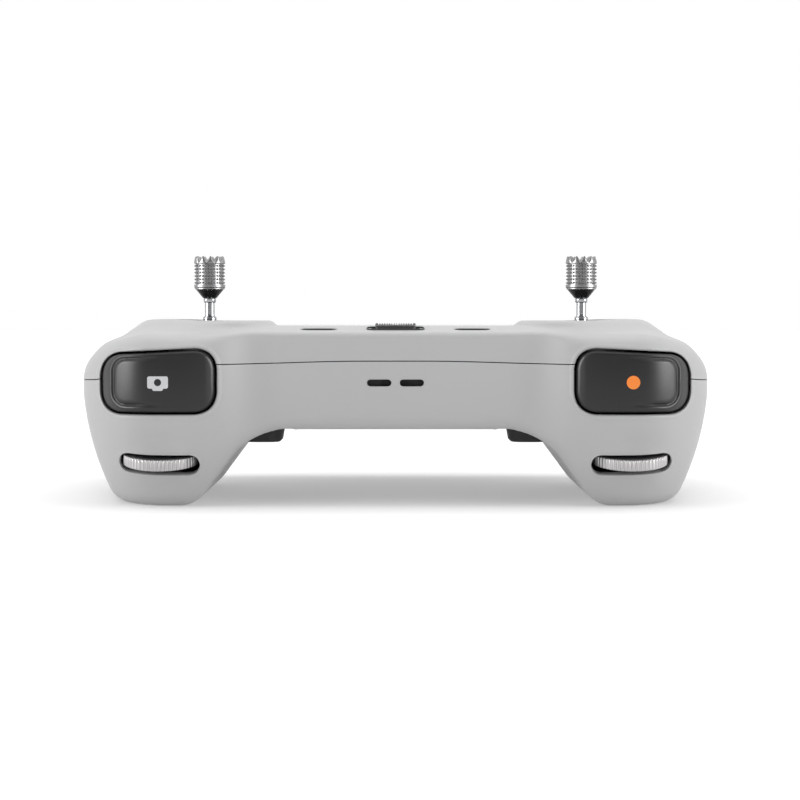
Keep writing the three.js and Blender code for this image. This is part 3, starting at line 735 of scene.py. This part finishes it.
def camera_reach(turn):
    """Distance from the lens's middle to the outline of a camera shape with its viewfinder hump."""
    near, far = np.zeros_like(turn), np.full_like(turn, 6.0)
    half_wide, half_high = CAMERA_HALF
    for _ in range(24):
        half = (near + far) / 2
        x, z = half * np.cos(turn), half * np.sin(turn)
        plain = round_max(np.abs(x) - half_wide, np.abs(z) - half_high, 0.5)
        hump = round_max(np.abs(x) - HUMP_HALF + 0.3 * (-z - 1.4), -z - HUMP_TOP, 0.3)
        hump = np.maximum(hump, z)
        inside = np.minimum(plain, hump) < 0
        near, far = np.where(inside, half, near), np.where(inside, far, half)
    return near


MARK_Z = 31.1
MARK_X = 58.2
DOT_RADIUS = 1.66
icon_ring("shutter_mark", np.array([-MARK_X, MARK_Z]), camera_reach, 0.88, "shutter", print_grey)
icon_ring("record_mark", np.array([MARK_X, MARK_Z]), lambda turn: np.full_like(turn, DOT_RADIUS), 0.004,
          "record", print_orange)


# ---- dials ---------------------------------------------------------------------------------------
def tilted(points, sign):
    c, s = math.cos(DIAL_TILT), math.sin(DIAL_TILT)
    x, y, z = np.asarray(points).T
    return np.stack([sign * DIAL[0] + x, DIAL[1] + c * y - s * z, DIAL[2] + s * y + c * z], 1)


TEETH = 57
TOOTH_HEIGHT = 0.3
# Rim section: radius, height and how much of the teeth shows there.
RIM_SECTION = [
    (4.3, -1.5, 0), (8.9, -1.5, 0), (9.15, -1.46, 0.2), (9.3, -1.3, 0.7), (9.3, -1.15, 1), (9.3, 0, 1),
    (9.3, 1.0, 1), (9.3, 1.15, 0.8), (9.2, 1.3, 0.3), (9.05, 1.36, 0), (8.8, 1.36, 0), (8.8, 1.0, 0),
    (4.3, 1.0, 0),
]
DIAL_FACE_SECTION = [(4.3, 1.02), (8.7, 1.02), (8.75, 1.3), (8.55, 1.5), (6.6, 1.62), (4.3, 1.66)]
for side, sign in SIDES.items():
    turn = full_turn(TEETH * 10)
    tooth = np.clip(0.5 + 0.9 * np.cos(TEETH * turn), 0, 1)
    loops = []
    for r, z, share in RIM_SECTION:
        loops.append(tilted(circle_points(r + TOOTH_HEIGHT * share * tooth, turn, z), sign))
    wheel = ring_object(f"{side}_dial_rim", loops)
    finish_piece(wheel, f"{side}_dial", dial_silver, [f"{side}_dial_wheel"], 30)
    turn = full_turn(96)
    loops = [tilted(circle_points(r, turn, z), sign) for r, z in DIAL_FACE_SECTION]
    plate = ring_object(f"{side}_dial_face", loops)
    finish_piece(plate, f"{side}_dial", dark_plastic)

# ---- keys, slider and pads -----------------------------------------------------------------------
for node, body_name in (("power_button", "power_key"), ("return_home_button", "return_home_key")):
    low, high = corner(node, 0), corner(node, 1)
    outline_at = slot_outline(high[0] - low[0], high[1] - low[1], 1.6, ((low[0] + high[0]) / 2, STRIP_Y))
    loops = [top_loop(outline_at(0), low[2])]
    for inset, sink in rolled_edge(0.4, 6) + [(0.9, 0.0), (1.5, 0.1), (2.1, 0.16)]:
        loops.append(top_loop(outline_at(-inset), high[2] - sink))
    key = finish_piece(mesh_object(f"{body_name}_cap", *stacked(loops)), body_name, button_black, [node])

low, high = corner("mode_switch_knob", 0), corner("mode_switch_knob", 1)
half_x, half_y = (high[0] - low[0]) / 2, (high[1] - low[1]) / 2
COMB_PITCH = 0.6
comb_foot = high[2] - 0.75
x = np.linspace(-half_x + 0.4, half_x - 0.4, 241)
ridge = 0.42 * (0.5 + 0.5 * np.cos(2 * math.pi * x / COMB_PITCH)) * (np.abs(x) < 4.6)
# The comb's outline from the side: its ends, then its ridged crown.
left_turn = [(-half_x, high[2] - 0.4), (-half_x + 0.12, high[2] - 0.12)]
right_turn = [(half_x - 0.12, high[2] - 0.12), (half_x, high[2] - 0.4)]
crown = np.stack([x, high[2] - ridge], 1)
profile = np.concatenate([[(-half_x, comb_foot)], left_turn, crown, right_turn, [(half_x, comb_foot)]])
loops = []
for y, shrink in ((-1, 0.35), (-0.97, 0.12), (-0.85, 0), (0.85, 0), (0.97, 0.12), (1, 0.35)):
    flat = profile.copy()
    flat[:, 0] *= 1 - 0.3 * shrink / half_x
    flat[:, 1] -= shrink * 0.6 * (flat[:, 1] > comb_foot + 0.1)
    loops.append(np.stack([flat[:, 0], np.full(len(flat), STRIP_Y + y * half_y), flat[:, 1]], 1))
comb = finish_piece(mesh_object("mode_slider_comb", *stacked(loops)), "mode_slider", silver)

STRIP = Facing((0, STRIP_Y, TOP_Z), (1, 0, 0), (0, 1, 0), (0, 0, -1))
bezel_outer, bezel_inner = slot_outline(14.6, 4.9, 1.6), slot_outline(13.9, 3.9, 0.9)
# Each step of the bezel's section: outline, growth and height over the skin.
bezel_section = [
    (bezel_outer, 0, -0.2), (bezel_outer, -0.05, 0.2), (bezel_outer, -0.2, 0.36), (bezel_inner, 0.12, 0.36),
    (bezel_inner, 0, 0.25), (bezel_inner, 0, -0.8), (bezel_outer, -0.35, -0.8), (bezel_outer, -0.35, -0.2),
]
loops = []
for bezel_at, grow, rise in bezel_section:
    flat = bezel_at(grow)
    loops.append(STRIP.point(flat, STRIP.depth(flat) - rise))
bezel = ring_object("mode_slot_bezel", loops)
finish_piece(bezel, "housing", dark_plastic)

APRON_LOW, APRON_HIGH = 40.75, 41.45
block_at = slot_outline(2 * half_x, 2 * half_y, 0.9, (0, STRIP_Y))
apron_at = slot_outline(18.4, 5.2, 0.6, (0, STRIP_Y))
block_steps = [(-0.1, low[2]), (0, low[2] + 0.1), (0, comb_foot - 0.15), (-0.12, comb_foot - 0.02)]
apron_steps = [(0, APRON_LOW), (0, APRON_HIGH - 0.1), (-0.1, APRON_HIGH)]
block = mesh_object("block", *stacked([top_loop(block_at(grow), z) for grow, z in block_steps]))
apron = mesh_object("apron", *stacked([top_loop(apron_at(grow), z) for grow, z in apron_steps]))
knob = join([block, apron], "mode_slider_knob")
finish_piece(knob, "mode_slider", dark_plastic, ["mode_switch_knob"])

for side, sign in SIDES.items():
    node = f"{side}_custom_key"
    low, high = corner(node, 0), corner(node, 1)
    outline_at = slot_outline(PAD_SIZE[0], PAD_SIZE[1], 4, (sign * PAD_CENTRE[0], PAD_CENTRE[1]))
    loops = [under_loop(outline_at(0), high[2]), under_loop(outline_at(0), low[2] + 4)]
    draft = 0.55
    for inset, sink in rolled_edge(0.9, 8):
        loops.append(under_loop(outline_at(-draft - inset), low[2] + sink))
    # The face of the pad is slightly dished.
    for inset, sink in ((2.6, 0.02), (3.2, 0.25), (4.6, 0.3)):
        loops.append(under_loop(outline_at(-inset), low[2] + sink))
    pad = finish_piece(mesh_object(f"{side}_custom_pad", *stacked(loops)), f"{side}_custom", rubber, [node])

# ---- sticks --------------------------------------------------------------------------------------
STICK_TOP = corner("left_stick_head", 1)[2]
NECK_TOP = 18.9
AXIS = 0.001
TIP_Z = 60.4
STUDS, ROWS, PITCH = 28, 6, 0.87
CROWN_TEETH = 11
CROWN_HEIGHT = 1.35


def arc(radius, start, end, count):
    """Section points on a circle about the pivot, from start to end degrees off the axis."""
    angles = np.radians(np.linspace(start, end, count))
    return [(radius * math.sin(a) + AXIS, radius * math.cos(a)) for a in angles]


def solid_turned(name, profile, segments, centre=(0, 0, 0)):
    return turned(name, profile, segments, centre, closed=False)


def stick_carrier(pivot):
    """Dust dome, hub and cross pin of one stick's inner gimbal axis."""
    shell = arc(DOME_RADIUS - 1.1, 0, 59, 14)
    shell += arc(DOME_RADIUS - 0.5, 60, 60, 1) + arc(DOME_RADIUS, 59, 19, 16)
    crest = bend((4.6, 13.43), (3.1, 13.9), (2.7, 14.6), 6) + [(AXIS, 14.65)]
    hub = [(AXIS, -5), (4.6, -5), (5, -4.6), (5, 4.6), (4.6, 5), (2.6, 5), (2.6, 12.6), (AXIS, 12.6)]
    bar = [(AXIS, -12), (1.3, -12), (1.5, -11.8), (1.5, 14.7), (1.3, 14.9), (AXIS, 14.9)]
    dome = solid_turned("dome", shell + crest, 96, pivot)
    core = solid_turned("core", hub, 48, pivot)
    pin = solid_turned("pin", bar, 32)
    # The pin is turned upright, then laid along Y.
    upright = np.empty(len(pin.data.vertices) * 3)
    pin.data.vertices.foreach_get("co", upright)
    laid = upright.reshape(-1, 3)[:, [0, 2, 1]] * [1, 1, -1] + pivot * MM
    pin.data.vertices.foreach_set("co", laid.ravel())
    return [dome, core, pin]


def head_loops():
    """Loops of a studded stick head with a toothed crown and a bore for the stem."""
    turn = full_turn(STUDS * 10)
    stud = np.clip(0.35 + 1.2 * np.cos(STUDS * turn), 0, 1)
    foot = 55.45
    collar = [(1.3, 54.15), (3.55, 54.15), (3.82, 54.25), (3.82, 54.5), (3.9, 54.6), (4.0, 54.75)]
    collar.append((4.0, foot - 0.05))
    loops = [circle_points(r, turn, z) for r, z in collar]
    for z in np.linspace(0, ROWS * PITCH, ROWS * 10 + 1):
        row = np.clip(0.35 - 1.2 * math.cos(2 * math.pi * z / PITCH), 0, 1)
        loops.append(circle_points(3.58 + 0.42 * stud * row, turn, foot + z))
    crown_foot = foot + ROWS * PITCH + 0.12
    notch = 1 - np.abs((turn * CROWN_TEETH / (2 * math.pi)) % 1 * 2 - 1)
    notch = np.clip(notch * 1.25 - 0.1, 0, 1)
    height = STICK_TOP - CROWN_HEIGHT * (1 - notch) - crown_foot
    outside = [(0, 3.98), (0.04, 4.0), (0.3, 3.98), (0.6, 3.86), (0.85, 3.72), (0.96, 3.62), (1.0, 3.5)]
    for share, r in outside:
        loops.append(circle_points(r, turn, crown_foot + share * height))
    # Towards the middle the teeth fade and the top sinks.
    for r, keep, drop in ((3.0, 0.9, 0.05), (2.4, 0.6, 0.2), (1.9, 0.25, 0.55), (1.5, 0.0, 1.0)):
        level = np.full_like(turn, crown_foot + height.mean())
        loops.append(circle_points(r, turn, mix(level, crown_foot + height, keep) - drop))
    for r, z in ((1.0, TIP_Z), (1.0, 57.0), (1.3, 56.6)):
        loops.append(circle_points(r, turn, z))
    return loops


for side, sign in SIDES.items():
    axis = np.array([sign * STICK[0], STICK[1], 0.0])
    pivot = axis + [0, 0, STICK[2]]
    stick = f"{side}_stick"

    neck = [(AXIS, 14.66), (2.15, 14.66), (2.3, 14.8)] + bend((2.25, 15.2), (1.6, 16.2), (1.62, 17.3), 6)
    neck += [(1.74, 17.42), (1.74, 17.95), (1.62, 18.1), (1.28, 18.35), (1.25, NECK_TOP), (AXIS, NECK_TOP)]
    socket = finish_piece(solid_turned(f"{side}_stick_socket", neck, 64, pivot), stick, polished, [], 40)
    carrier = join(stick_carrier(pivot), f"{side}_carrier")
    finish_piece(carrier, stick, dark_plastic, [f"{side}_stick_carrier"], 40)

    rod_foot = STICK[2] + NECK_TOP + 0.02
    rod = [(AXIS, rod_foot), (1.25, rod_foot), (1.25, 50.75), (1.42, 50.8), (1.58, 50.95), (1.62, 51.2)]
    rod += [(1.62, 51.7), (1.5, 51.86), (1.0, 51.86), (1.0, 56.0), (AXIS, 56.0)]
    stem = solid_turned(f"{side}_stem", rod, 64, axis)
    finish_piece(stem, stick, polished, [f"{side}_stick_stem"], 30)

    # On the real stick this cone is polished metal. Its dark look here is a painted reflection, given as a
    # near-black glossy finish.
    waist = [(1.3, 51.9), (1.6, 51.9), (1.75, 51.98), (3.45, 54.0), (3.5, 54.1), (1.3, 54.1)]
    cone = finish_piece(turned(f"{side}_stick_cone", waist, 72, axis), stick, painted_reflection_black, [], 30)

    head = ring_object(f"{side}_stick_cap", [loop + axis for loop in head_loops()])
    finish_piece(head, stick, silver, [f"{side}_stick_head"], 28)

# ---- screen --------------------------------------------------------------------------------------
glass_at = slot_outline(SCREEN_SIZE[0], SCREEN_SIZE[1], 9, SCREEN_CENTRE[:2])
loops = [top_loop(glass_at(-0.1), SCREEN_LOW[2]), top_loop(glass_at(0), SCREEN_LOW[2] + 0.1)]
for inset, sink in rolled_edge(0.45, 6):
    loops.append(top_loop(glass_at(-inset), SCREEN_HIGH[2] - sink))
glass = finish_piece(mesh_object("screen_cover", *stacked(loops)), "housing", glass_black, ["screen_glass"])

# ---- finishes of the nodes that stay as they are -------------------------------------------------
FINISHES = {
    "case_plastic": case_grey, "button_plastic": button_black, "dark_plastic": dark_plastic,
    "clear_plastic": milky, "cover_glass": glass_black, "display": glass_black,
    "silver_metal": silver, "steel": polished,
    "cast_frame": cast_metal, "antenna_copper": copper, "circuit_board": solder_mask, "cell_wrap": cell_wrap,
    "soft_rubber": rubber,
}
for row in frame["record"]["subparts"]:
    item = frame["nodes"][row["node"]]
    for place in item.material_slots:
        place.material = FINISHES[row["material_slot"]]

# ---- floor, light and camera ---------------------------------------------------------------------
def map_range(nodes, source, target):
    """Node that turns one range of values, in order, into another."""
    made = nodes.new("ShaderNodeMapRange")
    made.inputs["From Min"].default_value, made.inputs["From Max"].default_value = source
    made.inputs["To Min"].default_value, made.inputs["To Max"].default_value = target
    return made


floor_mesh = bpy.data.meshes.new("floor")
FLOOR_HALF = 6
floor_corners = [(x * FLOOR_HALF, y * FLOOR_HALF, 0) for x, y in ((-1, -1), (1, -1), (1, 1), (-1, 1))]
floor_mesh.from_pydata(floor_corners, [], [(0, 1, 2, 3)])
floor = bpy.data.objects.new("floor", floor_mesh)
bpy.context.collection.objects.link(floor)
floor_white = material("floor_white", (0.62, 0.62, 0.62), 0.8, spread=0.005, bump=0.01, specular=0.1)
floor_white.node_tree.nodes["Principled BSDF"].inputs["Emission Color"].default_value = (1, 1, 1, 1)
floor_nodes, floor_links = floor_white.node_tree.nodes, floor_white.node_tree.links
here = floor_nodes.new("ShaderNodeTexCoord")
away = floor_nodes.new("ShaderNodeVectorMath")
away.operation = "LENGTH"
# The floor glows more the farther it is from the object, so that it fades to white.
glow = map_range(floor_nodes, (0.2, 1.2), (0.28, 0.65))
floor_links.new(here.outputs["Object"], away.inputs[0])
floor_links.new(away.outputs["Value"], glow.inputs["Value"])
floor_links.new(glow.outputs["Result"], floor_nodes["Principled BSDF"].inputs["Emission Strength"])
floor_mesh.materials.append(floor_white)

world = bpy.data.worlds.new("studio")
bpy.context.scene.world = world
world.use_nodes = True
world.node_tree.nodes["Background"].inputs["Color"].default_value = (1, 1, 1, 1)
world_nodes, world_links = world.node_tree.nodes, world.node_tree.links
heading = world_nodes.new("ShaderNodeTexCoord")
parts = world_nodes.new("ShaderNodeSeparateXYZ")
# The studio is darker towards the front, so that metal and the shoulder wall keep their tone.
fall = map_range(world_nodes, (-0.95, -0.2), (0.32, 1.0))
fall.interpolation_type = "SMOOTHSTEP"
world_links.new(heading.outputs["Generated"], parts.inputs["Vector"])
world_links.new(parts.outputs["Y"], fall.inputs["Value"])
world_links.new(fall.outputs["Result"], world_nodes["Background"].inputs["Strength"])


def area_light(name, place, aim, size, power):
    lamp = bpy.data.lights.new(name, "AREA")
    lamp.shape = "RECTANGLE"
    lamp.size, lamp.size_y = size
    lamp.energy = power
    made = bpy.data.objects.new(name, lamp)
    bpy.context.collection.objects.link(made)
    made.location = place
    away = np.array(place, float) - np.array(aim, float)
    made.rotation_euler = Vector(away.tolist()).to_track_quat("Z", "Y").to_euler()
    return made


area_light("overhead", (0, 0.15, 1.0), (0, 0, 0.03), (1.6, 0.9), 6.5)
for side, sign in SIDES.items():
    area_light(f"side_{side}", (sign * 1.0, -0.5, 0.35), (sign * 0.05, 0, 0.03), (0.5, 0.5), 2.5)
for side, sign in SIDES.items():
    # A panel that shows in glossy surfaces only.
    strip = area_light(f"{side}_gloss", (sign * 0.95, -0.35, 0.18), (sign * 0.05, 0, 0.03), (0.5, 0.6), 8)
    strip.visible_diffuse = False

CAMERA_RANGE = 0.612
CAMERA_RISE = math.radians(2.3)
PIVOT = np.array([0, 0, 0.023])
camera_data = bpy.data.cameras.new("camera")
camera = bpy.data.objects.new("camera", camera_data)
bpy.context.collection.objects.link(camera)
camera.location = PIVOT + CAMERA_RANGE * np.array([0, -math.cos(CAMERA_RISE), math.sin(CAMERA_RISE)])
camera.rotation_euler = (math.pi / 2 - CAMERA_RISE, 0, 0)
camera_data.sensor_width = 36
camera_data.lens = 101.2
camera_data.shift_x = 0.0056
camera_data.shift_y = 0.0069
camera_data.clip_start = 0.01
bpy.context.scene.camera = camera
bpy.context.scene.view_settings.view_transform = "Standard"
